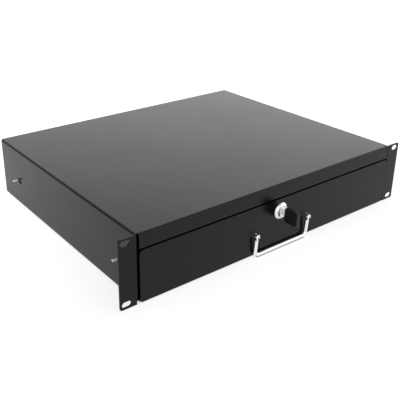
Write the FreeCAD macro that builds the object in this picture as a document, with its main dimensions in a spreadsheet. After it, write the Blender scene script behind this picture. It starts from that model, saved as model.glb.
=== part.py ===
import FreeCAD, Part
import Sketcher
import os
import re

# Sliding rack drawer, two rack units high.
# A folded steel case with rack ears holds a steel tray on two ball-bearing slides.
# The tray's front carries a cam lock with its key and a hanging bail handle.
#
# Frame: X to the right seen from the front, Y back into the rack, Z up.
# The origin is the centre of the ears' four slots, on the ears' front plane.
# The drawer is shut, the lock is open and the bail hangs.

doc = FreeCAD.newDocument("SlidingRackDrawer")
sizes = doc.addObject("Spreadsheet::Sheet", "sizes")

SIZES = (
    # Rack panel: the standard face of a 19 inch rack, two units high
    ("panel_width", 482.6, "width over both ears"),
    ("panel_height", 88.1, "height of the ears"),
    ("slot_edge_x", 8.75, "slot centres in from the ears' outer edges"),
    ("slot_edge_z", 5.95, "slot centres from the ears' upper and lower ends"),
    ("slot_length", 12.0, "rack slot end to end"),
    ("slot_width", 7.0, "rack slot width"),
    ("ear_corner", 3.0, "radius of the ears' outer corners"),
    # Case
    ("ear_width", 22.6, "ear outside the case's side"),
    ("case_depth", 360.4, "ears' front plane to the back"),
    ("case_sheet", 1.5, "steel of the case"),
    ("case_foot", 1.95, "underside above the ears' lower edge"),
    ("case_bend", 1.0, "inside radius of the case's bends"),
    ("top_flange", 13.0, "flange under the cover's side edges"),
    ("flange_setback", 3.0, "top flange back from the ears' front plane"),
    ("floor_setback", 9.5, "floor back from the ears' front plane"),
    ("floor_tab", 5.7, "strip of floor that comes forward at each side"),
    ("bend_relief", 3.0, "notch below the ears' bends, from the front"),
    ("bend_clear", 0.3, "cuts beside the ears' bends, beyond the case's side"),
    ("ear_bend", 1.4, "outside radius of the ears' bends, sharp inside"),
    ("rear_flange", 10.0, "flanges of the rear panel"),
    ("rear_notch", 1.0, "gap beside the rear panel's top flange"),
    # Cover
    ("cover_sheet", 1.2, "steel of the cover"),
    ("cover_inset", 0.8, "cover's side edge in from the case's side"),
    ("cover_edge", 0.8, "rounding along the cover's side edges"),
    ("lip_height", 19.4, "front lip, top to bottom"),
    ("lip_proud", 1.0, "lip's face in front of the ears"),
    ("lip_side_gap", 2.3, "gap beside the lip"),
    ("lip_return", 14.0, "stiffening return behind the lip"),
    ("lip_bend", 0.6, "inside radius of the fold under the lip"),
    ("cover_bend", 1.8, "inside radius of the cover's front bend"),
    # Drawer front
    ("front_side_gap", 1.9, "gap beside the drawer front"),
    ("front_seam", 0.95, "gap under the lip"),
    ("front_foot", 1.65, "drawer front's edge above the ears' lower edge"),
    ("front_sheet", 1.2, "steel of the drawer front"),
    ("front_gap", 0.4, "drawer front's back to the ears' front plane"),
    ("front_corner", 5.5, "upper corners of the drawer front"),
    ("front_low_corner", 3.0, "lower corners of the drawer front"),
    ("rim_depth", 9.0, "rim folded back around the drawer front"),
    ("rim_foot", 1.5, "rim's end above the case floor"),
    # Tray
    ("tray_sheet", 1.2, "steel of the tray"),
    ("tray_lift", 1.0, "tray above the case floor"),
    ("tray_drop", 3.7, "tray's upper edge below the drawer front's"),
    ("tray_hem", 8.0, "flange along the tray's sides"),
    ("tray_back_gap", 15.4, "back of the tray to the back of the case"),
    ("tray_bend", 0.8, "inside radius of the tray's bends"),
    # Slides
    ("slide_rise", 34.6, "centre line of the slides above the tray's underside"),
    ("slide_height", 45.4, "height of the outer member"),
    ("slide_width", 12.7, "case wall to tray wall"),
    ("slide_gauge", 1.2, "steel of the three members"),
    ("slide_rim_gap", 1.9, "end of the drawer front's rim to the closed members"),
    ("slide_back_gap", 14.9, "back of the closed members to the back of the case"),
    ("slide_bend", 1.0, "outside radius of the outer member's bends"),
    ("outer_reach", 10.9, "outer member's flanges, from the case wall"),
    ("middle_set", 4.3, "middle member's web, from the case wall"),
    ("middle_reach", 11.4, "middle member's flanges, from the case wall"),
    ("inner_set", 7.2, "inner member's flanges, from the case wall"),
    ("race_lip", 1.1, "lips that keep the balls on their races"),
    ("race_gap", 0.1, "play between a ball and its races"),
    ("outer_ball", 3.4, "diameter of the outer rows' balls"),
    ("inner_ball", 3.2, "diameter of the inner rows' balls"),
    ("outer_row", 7.7, "outer rows' ball centres, from the case wall"),
    ("inner_row", 8.3, "inner rows' ball centres, from the case wall"),
    ("cage_sheet", 0.5, "steel of the ball cages"),
    ("cage_play", 0.1, "play of a ball in its cage"),
    ("cage_start", 100.0, "front end of the cages in the closed slide"),
    ("ball_margin", 15.0, "first and last ball from the cage's ends"),
    ("ball_pitch", 24.0, "from ball to ball along a row"),
    ("outer_cage_set", 3.2, "outer cage's web, from the case wall"),
    ("outer_cage_reach", 10.4, "outer cage's strips, from the case wall"),
    ("inner_cage_set", 6.0, "inner cage's web, from the case wall"),
    ("inner_cage_reach", 10.9, "inner cage's strips, from the case wall"),
    # Screws that hold the slides on the case
    ("screw_radius", 2.0, "thread of the screws"),
    ("screw_play", 0.1, "gap around a screw in its hole"),
    ("head_radius", 3.8, "low heads of the screws"),
    ("head_height", 1.6, "height of those heads"),
    ("case_screw_front", 40.5, "front screw of the case, from the ears"),
    ("case_screw_rear", 47.4, "rear screw of the case, from the back"),
    ("case_screw_tip", 6.5, "screw tip outside the case's side"),
    ("spare_slot_ahead", 9.5, "oblong hole in front of the rear screw"),
    ("spare_slot_length", 10.0, "oblong hole end to end"),
    ("spare_slot_width", 4.6, "oblong hole width"),
    # Cam lock
    ("lock_drop", 17.2, "axis of the lock below the drawer front's upper edge"),
    ("ring_radius", 11.3, "conical ring where it meets the drawer front"),
    ("ring_height", 3.2, "ring in front of the drawer front"),
    ("ring_face", 8.6, "radius of the ring's flat face"),
    ("ring_edge", 0.6, "straight edge of the ring on the drawer front"),
    ("barrel_radius", 9.0, "threaded body of the lock"),
    ("barrel_back", 13.5, "back end of the lock's body"),
    ("barrel_play", 0.15, "gap around the body in its hole"),
    ("plug_radius", 5.94, "turning plug"),
    ("plug_play", 0.06, "running gap around the plug"),
    ("plug_recess", 0.5, "plug's face behind the ring's face"),
    ("plug_back", 14.2, "shoulder behind which the cam sits"),
    ("spigot", 7.0, "square that drives the cam"),
    ("spigot_short", 0.1, "square shorter than the cam is thick"),
    ("cam_sheet", 2.0, "thickness of the cam"),
    ("cam_reach", 27.0, "cam's tip from the axis"),
    ("cam_tail", 8.5, "cam's other end from the axis"),
    ("cam_half", 6.0, "half the cam's width"),
    ("cam_hub_round", 5.5, "rounding of the cam's hub end"),
    ("cam_tip_round", 2.0, "rounding of the cam's tip"),
    ("cam_screw_radius", 2.0, "screw in the back of the plug"),
    ("cam_screw_depth", 7.0, "length of that screw in the plug"),
    ("cam_head_radius", 4.4, "its head"),
    ("cam_head_height", 2.4, "height of its head"),
    ("washer_radius", 5.6, "washer under it"),
    ("washer_sheet", 0.8, "thickness of the washer"),
    ("lock_nut_flats", 23.0, "lock nut across its flats"),
    ("lock_nut_sheet", 3.0, "thickness of the lock nut"),
    # Key
    ("key_sheet", 2.0, "thickness of the blade"),
    ("key_half", 3.6, "half the blade's height"),
    ("key_end", 7.5, "blade's tip behind the ears' front plane"),
    ("key_gap", 0.25, "gap between blade and keyway"),
    ("key_notch", 1.6, "depth of the blade's cuts"),
    ("key_step", 2.6, "from cut to cut"),
    ("bow_near", 9.5, "bow's back edge in front of the ears"),
    ("bow_far", 31.5, "bow's front edge in front of the ears"),
    ("bow_half", 10.3, "half the bow's height"),
    ("bow_drop", 1.6, "bow's centre below the lock's axis"),
    ("bow_neck", 7.4, "half the bow's height at its back edge"),
    ("bow_slope", 3.0, "length of the bow's slanted shoulders"),
    ("bow_chamfer", 2.2, "cut corners of the bow's far end"),
    ("bow_sheet", 4.2, "thickness of the bow"),
    ("bow_round", 0.8, "rounding of the bow's edges"),
    ("tang", 9.0, "blade inside the bow"),
    # Bail handle
    ("handle_spread", 91.4, "leg to leg"),
    ("handle_rise", 29.4, "pivots of the handle above the drawer front's lower edge"),
    ("pivot_out", 7.2, "pivots in front of the ears' front plane"),
    ("handle_rod", 2.5, "radius of the bail's rod"),
    ("handle_drop", 28.2, "pivot to the middle of the bar"),
    ("handle_bend", 6.0, "radius of the bail's bends"),
    ("handle_lean", 4.5, "degrees the hanging bail leans back"),
    ("eye_radius", 2.6, "flattened end around the pin"),
    ("eye_sheet", 2.0, "thickness of the flattened end"),
    ("eye_neck", 1.9, "half the width of the flattened neck"),
    ("neck_length", 4.8, "from the pivot to the round rod's shoulder"),
    ("neck_root", 1.0, "overlap of the flattened neck with the rod"),
    ("pin_radius", 1.0, "cross pins"),
    ("pin_run", 0.08, "running gap of the bail on its pins"),
    ("pin_play", 0.04, "gap of a pin in its post"),
    ("pin_proud", 0.3, "pin's end beyond the post"),
    ("post_radius", 3.25, "posts of the handle"),
    ("post_tip", 10.4, "post's end in front of the ears"),
    ("post_chamfer", 0.8, "chamfer of the post's end"),
    ("post_slot", 2.5, "slot in the post"),
    ("post_slot_end", 4.2, "bottom of that slot, in front of the ears"),
    ("stud_radius", 2.0, "stud behind the post"),
    ("stud_back", 6.5, "end of the stud behind the ears' front plane"),
    ("stud_nut_flats", 7.0, "nut across its flats"),
    ("stud_nut_sheet", 3.2, "thickness of that nut"),
)

for row, (alias, size, meaning) in enumerate(SIZES, start=1):
    sizes.set("A%d" % row, meaning)
    sizes.set("B%d" % row, str(size))
    sizes.setAlias("B%d" % row, alias)
doc.recompute()

# Levels and planes that several pieces share, as formulas of the sizes
PANEL_TOP = "(panel_height / 2)"
SLOT_X = "(panel_width / 2 - slot_edge_x)"
SLOT_Z = "(panel_height / 2 - slot_edge_z)"
CASE_SIDE = "(panel_width / 2 - ear_width)"
CASE_WALL = "(panel_width / 2 - ear_width - case_sheet)"
CASE_BOTTOM = "(case_foot - panel_height / 2)"
CASE_FLOOR = "(case_foot - panel_height / 2 + case_sheet)"
COVER_BED = "(panel_height / 2 - cover_sheet)"
LIP_BOTTOM = "(panel_height / 2 - lip_height)"
LIP_SIDE = "(panel_width / 2 - ear_width - case_sheet - lip_side_gap)"
FRONT_SIDE = "(panel_width / 2 - ear_width - case_sheet - front_side_gap)"
FRONT_TOP = "(panel_height / 2 - lip_height - front_seam)"
FRONT_BOTTOM = "(front_foot - panel_height / 2)"
FRONT_FACE = "(0 - front_gap - front_sheet)"
FRONT_BACK = "(0 - front_gap)"
TRAY_SIDE = "(panel_width / 2 - ear_width - case_sheet - slide_width)"
TRAY_FLOOR = "(case_foot - panel_height / 2 + case_sheet + tray_lift)"
TRAY_TOP = "(panel_height / 2 - lip_height - front_seam - tray_drop)"
TRAY_FRONT_BACK = "(tray_sheet - front_gap)"
TRAY_BACK = "(case_depth - tray_back_gap)"
LOCK_LEVEL = "(panel_height / 2 - lip_height - front_seam - lock_drop)"
HANDLE_LEVEL = "(front_foot - panel_height / 2 + handle_rise)"
SLIDE_LEVEL = "(case_foot - panel_height / 2 + case_sheet + tray_lift + slide_rise)"
SLIDE_START = "(rim_depth - front_gap + slide_rim_gap)"
SLIDE_LENGTH = "(case_depth - slide_back_gap - rim_depth + front_gap - slide_rim_gap)"
CASE_SCREW_REAR = "(case_depth - case_screw_rear)"
RING_FACE = "(0 - front_gap - front_sheet - ring_height)"
OUTER_HALF = "(slide_height / 2)"
OUTER_RACE = "(slide_height / 2 - slide_gauge)"
OUTER_BALLS = "(slide_height / 2 - slide_gauge - race_gap - outer_ball / 2)"
MIDDLE_RACE = "(slide_height / 2 - slide_gauge - 2 * race_gap - outer_ball)"
MIDDLE_UNDER = "(slide_height / 2 - 2 * slide_gauge - 2 * race_gap - outer_ball)"
INNER_BALLS = "(slide_height / 2 - 2 * slide_gauge - 3 * race_gap - outer_ball - inner_ball / 2)"
INNER_RACE = "(slide_height / 2 - 2 * slide_gauge - 4 * race_gap - outer_ball - inner_ball)"
BALLS_IN_A_ROW = 6


def formula(text):
    """The text with each size's name pointed at its cell in the sheet."""
    return re.sub(r"\b[a-z][a-z0-9_]*\b(?!\()", lambda word: "sizes." + word.group(0), text)


def minus(text):
    """The formula with its sign turned."""
    return "(0 - (%s))" % text


def number(text):
    """The value of a formula now."""
    return float(sizes.evalExpression(formula(text)))


def bind(thing, setting, text):
    """Tie one setting of an object to a formula of the sizes."""
    thing.setExpression(setting, formula(text))


# Sketched bodies

def new_body(name):
    body = doc.addObject("PartDesign::Body", name)
    body.Label = name
    return body


def new_sketch(body, name, plane, level):
    """A sketch on the plane XY, XZ or YZ of the body, moved along the third axis to a level."""
    sketch = body.newObject("Sketcher::SketchObject", name)
    for feature in body.Origin.OriginFeatures:
        if feature.Role == plane + "_Plane":
            sketch.AttachmentSupport = (feature, "")
    sketch.MapMode = "FlatFace"
    # The XZ plane looks along -Y, so its offset counts backwards
    bind(sketch, "AttachmentOffset.Base.z", minus(level) if plane == "XZ" else level)
    return sketch


def place_point(sketch, geometry, point, across, up):
    """Hold one point of the sketch at two distances from the sketch's origin."""
    for kind, text in (("DistanceX", across), ("DistanceY", up)):
        index = sketch.addConstraint(Sketcher.Constraint(kind, -1, 1, geometry, point, number(text)))
        bind(sketch, "Constraints[%d]" % index, text)


def draw_corners(sketch, corners):
    """A closed outline of straight lines through the corners."""
    spots = [FreeCAD.Vector(number(across), number(up), 0) for across, up in corners]
    first = sketch.GeometryCount
    count = len(corners)
    for here in range(count):
        sketch.addGeometry(Part.LineSegment(spots[here], spots[(here + 1) % count]), False)
    for here in range(count):
        following = (here + 1) % count
        sketch.addConstraint(Sketcher.Constraint("Coincident", first + here, 2, first + following, 1))
    for here, (across, up) in enumerate(corners):
        place_point(sketch, first + here, 1, across, up)


def draw_circle(sketch, across, up, radius):
    centre = FreeCAD.Vector(number(across), number(up), 0)
    circle = sketch.addGeometry(Part.Circle(centre, FreeCAD.Vector(0, 0, 1), number(radius)), False)
    place_point(sketch, circle, 3, across, up)
    index = sketch.addConstraint(Sketcher.Constraint("Radius", circle, number(radius)))
    bind(sketch, "Constraints[%d]" % index, radius)


def draw_slot(sketch, across, up, length, width):
    """A slot with round ends, lying along the sketch's first axis."""
    radius = number(width) / 2
    reach = (number(length) - number(width)) / 2
    normal = FreeCAD.Vector(0, 0, 1)
    middle = FreeCAD.Vector(number(across), number(up), 0)
    right = middle + FreeCAD.Vector(reach, 0, 0)
    left = middle - FreeCAD.Vector(reach, 0, 0)
    rise = FreeCAD.Vector(0, radius, 0)
    quarter = 1.5707963267948966
    right_end = sketch.addGeometry(
        Part.ArcOfCircle(Part.Circle(right, normal, radius), -quarter, quarter), False)
    left_end = sketch.addGeometry(
        Part.ArcOfCircle(Part.Circle(left, normal, radius), quarter, 3 * quarter), False)
    top = sketch.addGeometry(Part.LineSegment(right + rise, left + rise), False)
    bottom = sketch.addGeometry(Part.LineSegment(left - rise, right - rise), False)
    sketch.addConstraint(Sketcher.Constraint("Tangent", right_end, 2, top, 1))
    sketch.addConstraint(Sketcher.Constraint("Tangent", top, 2, left_end, 1))
    sketch.addConstraint(Sketcher.Constraint("Tangent", left_end, 2, bottom, 1))
    sketch.addConstraint(Sketcher.Constraint("Tangent", bottom, 2, right_end, 1))
    sketch.addConstraint(Sketcher.Constraint("Equal", right_end, left_end))
    place_point(sketch, right_end, 3, "%s + (%s - %s) / 2" % (across, length, width), up)
    place_point(sketch, left_end, 3, "%s - (%s - %s) / 2" % (across, length, width), up)
    index = sketch.addConstraint(Sketcher.Constraint("Radius", right_end, radius))
    bind(sketch, "Constraints[%d]" % index, "%s / 2" % width)


def draw(sketch, outlines):
    tools = {"corners": draw_corners, "circle": draw_circle, "slot": draw_slot}
    for kind, *values in outlines:
        tools[kind](sketch, *values)


def rectangle(left, right, low, high):
    return ("corners", [(left, low), (right, low), (right, high), (left, high)])


def pad(body, name, plane, level, outlines, length):
    """Grow the outlines from a level along the plane's own axis, always towards plus."""
    sketch = new_sketch(body, name + "_sketch", plane, level)
    draw(sketch, outlines)
    feature = body.newObject("PartDesign::Pad", name)
    feature.Profile = sketch
    feature.Reversed = plane == "XZ"
    bind(feature, "Length", length)
    return feature


def pocket(body, name, plane, level, outlines, length):
    """Cut the outlines away from a level along the plane's own axis, always towards plus."""
    before = shape_now(body).Volume
    sketch = new_sketch(body, name + "_sketch", plane, level)
    draw(sketch, outlines)
    feature = body.newObject("PartDesign::Pocket", name)
    feature.Profile = sketch
    feature.Reversed = plane != "XZ"
    bind(feature, "Length", length)
    if shape_now(body).Volume > before - 0.01:
        raise RuntimeError(name + " cuts nothing")
    return feature


def shape_now(body):
    doc.recompute()
    return body.Tip.Shape


def edges_along(shape, axis, places):
    """Names of the straight edges along an axis (0, 1 or 2) that run through the given places.

    A place is a pair of formulas: the edge's position on the two other axes, in order.
    """
    others = [number_of for number_of in (0, 1, 2) if number_of != axis]
    spots = [(number(first), number(second)) for first, second in places]
    names = []
    for index, edge in enumerate(shape.Edges, start=1):
        if edge.Curve.TypeId != "Part::GeomLine":
            continue
        start, end = edge.Vertexes[0].Point, edge.Vertexes[-1].Point
        if any(abs(start[other] - end[other]) > 0.01 for other in others):
            continue
        for spot in spots:
            if all(abs(start[other] - value) < 0.01 for other, value in zip(others, spot)):
                names.append("Edge%d" % index)
    return names


def edges_on_level(shape, axis, level):
    """Names of the edges that lie wholly in the plane at a level of an axis."""
    height = number(level)
    names = []
    for index, edge in enumerate(shape.Edges, start=1):
        box = edge.BoundBox
        low = (box.XMin, box.YMin, box.ZMin)[axis]
        high = (box.XMax, box.YMax, box.ZMax)[axis]
        if abs(low - height) < 0.01 and abs(high - height) < 0.01:
            names.append("Edge%d" % index)
    return names


def round_edges(body, name, radius, axis, places):
    """Round the edges of the body that run along an axis through the given places."""
    shape = shape_now(body)
    base = body.Tip
    names = edges_along(shape, axis, places)
    if not names:
        raise RuntimeError(name + " finds no edges")
    feature = body.newObject("PartDesign::Fillet", name)
    feature.Base = (base, names)
    bind(feature, "Radius", radius)
    return feature


def turn(body, name, across, level, profile):
    """Turn a profile about a line along Y; each corner is (position along Y, radius)."""
    sketch = new_sketch(body, name + "_sketch", "YZ", across)
    bind(sketch, "AttachmentOffset.Base.y", level)
    draw_corners(sketch, profile)
    feature = body.newObject("PartDesign::Revolution", name)
    feature.Profile = sketch
    feature.ReferenceAxis = (sketch, ["H_Axis"])
    feature.Angle = 360
    return feature


# Plain solids

def place(solid, x, y, z):
    for axis, text in (("x", x), ("y", y), ("z", z)):
        bind(solid, "Placement.Base." + axis, text)


def box(name, x, y, z, length, width, height):
    solid = doc.addObject("Part::Box", name)
    bind(solid, "Length", length)
    bind(solid, "Width", width)
    bind(solid, "Height", height)
    place(solid, x, y, z)
    return solid


TURNS = {
    "X": FreeCAD.Rotation(FreeCAD.Vector(0, 1, 0), 90),
    "Y": FreeCAD.Rotation(FreeCAD.Vector(1, 0, 0), -90),
    "Z": FreeCAD.Rotation(),
}


def rod(name, axis, x, y, z, radius, length):
    """A cylinder that starts at a point and runs along plus X, Y or Z."""
    solid = doc.addObject("Part::Cylinder", name)
    solid.Placement.Rotation = TURNS[axis]
    bind(solid, "Radius", radius)
    bind(solid, "Height", length)
    place(solid, x, y, z)
    return solid


def taper(name, axis, x, y, z, start_radius, end_radius, length):
    """A cone that starts at a point and runs along plus X, Y or Z."""
    solid = doc.addObject("Part::Cone", name)
    solid.Placement.Rotation = TURNS[axis]
    bind(solid, "Radius1", start_radius)
    bind(solid, "Radius2", end_radius)
    bind(solid, "Height", length)
    place(solid, x, y, z)
    return solid


def hexagon(name, x, y, z, flats, length):
    """A six-sided prism that starts at a point and runs along plus Y, with flats at its top and bottom."""
    solid = doc.addObject("Part::Prism", name)
    solid.Polygon = 6
    solid.Placement.Rotation = TURNS["Y"]
    bind(solid, "Circumradius", "%s / sqrt(3)" % flats)
    bind(solid, "Height", length)
    place(solid, x, y, z)
    return solid


def fuse(name, solids):
    whole = doc.addObject("Part::MultiFuse", name)
    whole.Shapes = solids
    return whole


def cut(name, base, tool):
    whole = doc.addObject("Part::Cut", name)
    whole.Base = base
    whole.Tool = tool
    return whole


def together(name, solids):
    """Separate solids that share one file."""
    whole = doc.addObject("Part::Compound", name)
    whole.Links = solids
    return whole


def on_side(side, text):
    """A formula for a place on the right side, mirrored for the left side."""
    return text if side > 0 else minus(text)


def both_sides(places):
    """Places on the right and their mirror images on the left."""
    return list(places) + [(minus(first), second) for first, second in places]


# Case

def make_case_shell():
    """Floor, both sides, both top flanges and both ears, folded from one sheet."""
    shell = new_body("case_shell")
    flange_edge = "(%s - top_flange)" % CASE_SIDE
    flange_under = "(%s - case_sheet)" % COVER_BED
    right_half = [
        (CASE_SIDE, CASE_BOTTOM),
        (CASE_SIDE, COVER_BED),
        (flange_edge, COVER_BED),
        (flange_edge, flange_under),
        (CASE_WALL, flange_under),
        (CASE_WALL, CASE_FLOOR),
    ]
    left_half = [(minus(across), up) for across, up in reversed(right_half)]
    pad(shell, "case_walls", "XZ", "0", [("corners", right_half + left_half)], "case_depth")
    round_edges(shell, "case_outer_bends", "case_bend + case_sheet", 1,
                both_sides([(CASE_SIDE, CASE_BOTTOM), (CASE_SIDE, COVER_BED)]))
    round_edges(shell, "case_inner_bends", "case_bend", 1,
                both_sides([(CASE_WALL, CASE_FLOOR), (CASE_WALL, flange_under)]))
    ear_edge = "(panel_width / 2)"
    bend_end = "(%s + bend_clear)" % CASE_SIDE
    for side, ear in ((1, "right_ear"), (-1, "left_ear")):
        # In front of the top flange the side stands straight up to the cover
        stile = [(CASE_WALL, SLIDE_LEVEL), (CASE_SIDE, SLIDE_LEVEL), (CASE_SIDE, COVER_BED), (CASE_WALL, COVER_BED)]
        pad(shell, ear + "_stile", "XZ", "0",
            [("corners", [(on_side(side, across), up) for across, up in stile])], "flange_setback")
        outline = [
            (CASE_WALL, CASE_BOTTOM),
            (CASE_SIDE, CASE_BOTTOM),
            (CASE_SIDE, minus(PANEL_TOP)),
            (ear_edge, minus(PANEL_TOP)),
            (ear_edge, PANEL_TOP),
            (bend_end, PANEL_TOP),
            (bend_end, COVER_BED),
            (CASE_WALL, COVER_BED),
        ]
        ear_outline = ("corners", [(on_side(side, across), up) for across, up in outline])
        slots = [("slot", on_side(side, SLOT_X), up, "slot_length", "slot_width")
                 for up in (SLOT_Z, minus(SLOT_Z))]
        pad(shell, ear, "XZ", "0", [ear_outline] + slots, "case_sheet")
    round_edges(shell, "ear_corners", "ear_corner", 1,
                both_sides([(ear_edge, PANEL_TOP), (ear_edge, minus(PANEL_TOP))]))
    inside = "(%s - 2 * case_bend)" % CASE_WALL
    low, high = minus(PANEL_TOP + " + 1"), CASE_FLOOR + " + 2 * case_bend"
    for side, hand in ((1, "right"), (-1, "left")):
        notch = [(inside, low), (bend_end, low), (bend_end, high), (inside, high)]
        pocket(shell, "bend_relief_" + hand, "XZ", "(0 - 1)",
               [("corners", [(on_side(side, across), up) for across, up in notch])], "bend_relief + 1")
    pocket(shell, "flange_setback_cut", "XZ", "(0 - 1)",
           [rectangle(minus(CASE_WALL), CASE_WALL, flange_under + " - case_bend", COVER_BED + " + 1")],
           "flange_setback + 1")
    round_edges(shell, "ear_bends", "ear_bend", 2, both_sides([(CASE_WALL, "0")]))
    tab_edge = "(%s - floor_tab)" % CASE_WALL
    pocket(shell, "floor_setback_cut", "XZ", "(0 - 1)",
           [rectangle(minus(tab_edge), tab_edge, CASE_BOTTOM + " - 1", CASE_FLOOR)], "floor_setback + 1")
    screws = [("circle", place_y, SLIDE_LEVEL, "screw_radius + screw_play")
              for place_y in ("case_screw_front", CASE_SCREW_REAR)]
    pocket(shell, "slide_screw_holes", "YZ", minus(CASE_SIDE + " + 1"), screws, "2 * %s + 2" % CASE_SIDE)
    spare = ("slot", CASE_SCREW_REAR + " - spare_slot_ahead", SLIDE_LEVEL, "spare_slot_length", "spare_slot_width")
    pocket(shell, "spare_slots", "YZ", minus(CASE_SIDE + " + 1"), [spare], "2 * %s + 2" % CASE_SIDE)
    return shell


def make_top_cover():
    """Flat cover whose front edge is folded down as a lip and back again as a stiffening return."""
    cover = new_body("top_cover")
    edge = "(%s - cover_inset)" % CASE_SIDE
    bend_end = "(cover_bend + cover_sheet - lip_proud)"
    pad(cover, "cover_sheet_pad", "XY", COVER_BED,
        [rectangle(minus(edge), edge, bend_end, "case_depth")], "cover_sheet")
    round_edges(cover, "cover_side_edges", "cover_edge", 1, both_sides([(edge, PANEL_TOP)]))
    lip_back = "(cover_sheet - lip_proud)"
    return_top = "(%s + cover_sheet)" % LIP_BOTTOM
    lip = [
        (minus("lip_proud"), LIP_BOTTOM),
        ("lip_return", LIP_BOTTOM),
        ("lip_return", return_top),
        (lip_back, return_top),
        (lip_back, COVER_BED),
        (bend_end + " + 1", COVER_BED),
        (bend_end + " + 1", PANEL_TOP),
        (minus("lip_proud"), PANEL_TOP),
    ]
    pad(cover, "cover_lip", "YZ", minus(LIP_SIDE), [("corners", lip)], "2 * %s" % LIP_SIDE)
    round_edges(cover, "front_outer_bend", "cover_bend + cover_sheet", 0, [(minus("lip_proud"), PANEL_TOP)])
    round_edges(cover, "front_inner_bend", "cover_bend", 0, [(lip_back, COVER_BED)])
    round_edges(cover, "lip_outer_bend", "lip_bend + cover_sheet", 0, [(minus("lip_proud"), LIP_BOTTOM)])
    round_edges(cover, "lip_inner_bend", "lip_bend", 0, [(lip_back, return_top)])
    return cover


def make_rear_panel():
    """Back of the case, with flanges against both sides and under the cover."""
    panel = new_body("rear_panel")
    flange_under = "(%s - case_sheet)" % COVER_BED
    top_edge = "(%s - top_flange - rear_notch)" % CASE_SIDE
    right_half = [(CASE_WALL, CASE_FLOOR), (CASE_WALL, flange_under), (top_edge, flange_under), (top_edge, COVER_BED)]
    left_half = [(minus(across), up) for across, up in reversed(right_half)]
    pad(panel, "rear_sheet", "XZ", "(case_depth - case_sheet)", [("corners", right_half + left_half)], "case_sheet")
    flange_start = "(case_depth - rear_flange)"
    pad(panel, "rear_top_flange", "XZ", flange_start,
        [rectangle(minus(top_edge), top_edge, flange_under, COVER_BED)], "rear_flange")
    low, high = "%s + rear_flange" % CASE_FLOOR, "%s - rear_flange" % flange_under
    side_in = "(%s - case_sheet)" % CASE_WALL
    for side, name in ((1, "rear_right_flange"), (-1, "rear_left_flange")):
        pad(panel, name, "XZ", flange_start,
            [rectangle(on_side(side, side_in), on_side(side, CASE_WALL), low, high)], "rear_flange")
    round_edges(panel, "rear_top_bend", "case_bend + case_sheet", 0, [("case_depth", COVER_BED)])
    round_edges(panel, "rear_low_corners", "case_bend", 1, both_sides([(CASE_WALL, CASE_FLOOR)]))
    return panel


# Ball-bearing slides

def from_wall(side, depth):
    """Position across of a point at a depth into the slide, measured from the case wall."""
    return on_side(side, "(%s - (%s))" % (CASE_WALL, depth))


def slide_profile(side, upper_half):
    """Closed outline of a member: its upper half and the mirror image below the centre line."""
    corners = [(depth, "%s + (%s)" % (SLIDE_LEVEL, rise)) for depth, rise in upper_half]
    corners += [(depth, "%s - (%s)" % (SLIDE_LEVEL, rise)) for depth, rise in reversed(upper_half)]
    return ("corners", [(from_wall(side, depth), up) for depth, up in corners])


def wall_level(side, near, far):
    """Lower end along X of the stretch between two depths from the case wall."""
    return from_wall(side, far) if side > 0 else from_wall(side, near)


def make_outer_member(side, name):
    """C-shaped member on the case wall; the lips of its flanges keep the outer balls in."""
    member = new_body(name)
    lip_level = "%s - race_lip" % OUTER_RACE
    upper_half = [
        ("0", OUTER_HALF),
        ("outer_reach", OUTER_HALF),
        ("outer_reach", lip_level),
        ("outer_reach - slide_gauge", lip_level),
        ("outer_reach - slide_gauge", OUTER_RACE),
        ("slide_gauge", OUTER_RACE),
    ]
    pad(member, name + "_section", "XZ", SLIDE_START, [slide_profile(side, upper_half)], SLIDE_LENGTH)
    corners = [(from_wall(side, depth), "%s %s %s" % (SLIDE_LEVEL, sign, OUTER_HALF))
               for depth in ("0", "outer_reach") for sign in "+-"]
    round_edges(member, name + "_bends", "slide_bend", 1, corners)
    screws = [("circle", place_y, SLIDE_LEVEL, "screw_radius + screw_play")
              for place_y in ("case_screw_front", CASE_SCREW_REAR)]
    pocket(member, name + "_holes", "YZ", wall_level(side, "0", "slide_gauge") + " - 1", screws, "slide_gauge + 2")
    return member


def make_middle_member(side, name):
    """Middle member: it runs on the outer balls and carries the inner balls inside its flanges."""
    member = new_body(name)
    web_top = "%s + race_lip" % MIDDLE_RACE
    lip_level = "%s - race_lip" % MIDDLE_UNDER
    upper_half = [
        ("middle_set", web_top),
        ("middle_set + slide_gauge", web_top),
        ("middle_set + slide_gauge", MIDDLE_RACE),
        ("middle_reach", MIDDLE_RACE),
        ("middle_reach", lip_level),
        ("middle_reach - slide_gauge", lip_level),
        ("middle_reach - slide_gauge", MIDDLE_UNDER),
        ("middle_set + slide_gauge", MIDDLE_UNDER),
    ]
    # The outline's last corners sit on the web's inner face, so the web stays whole between them
    pad(member, name + "_section", "XZ", SLIDE_START, [slide_profile(side, upper_half)], SLIDE_LENGTH)
    corners = [(from_wall(side, "middle_reach"), "%s %s %s" % (SLIDE_LEVEL, sign, MIDDLE_RACE)) for sign in "+-"]
    round_edges(member, name + "_bends", "slide_bend", 1, corners)
    return member


def make_inner_member(side, name):
    """C-shaped member on the tray's side, open towards the case."""
    member = new_body(name)
    web_in = "slide_width - slide_gauge"
    upper_half = [
        ("slide_width", "%s + race_lip" % INNER_RACE),
        (web_in, "%s + race_lip" % INNER_RACE),
        (web_in, INNER_RACE),
        ("inner_set", INNER_RACE),
        ("inner_set", "%s - slide_gauge" % INNER_RACE),
        (web_in, "%s - slide_gauge" % INNER_RACE),
    ]
    # The outline's two last corners close the web on its inner face
    pad(member, name + "_section", "XZ", SLIDE_START, [slide_profile(side, upper_half)], SLIDE_LENGTH)
    corners = [(from_wall(side, "inner_set"), "%s %s %s" % (SLIDE_LEVEL, sign, INNER_RACE)) for sign in "+-"]
    round_edges(member, name + "_bends", "slide_bend / 2", 1, corners)
    return member


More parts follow.
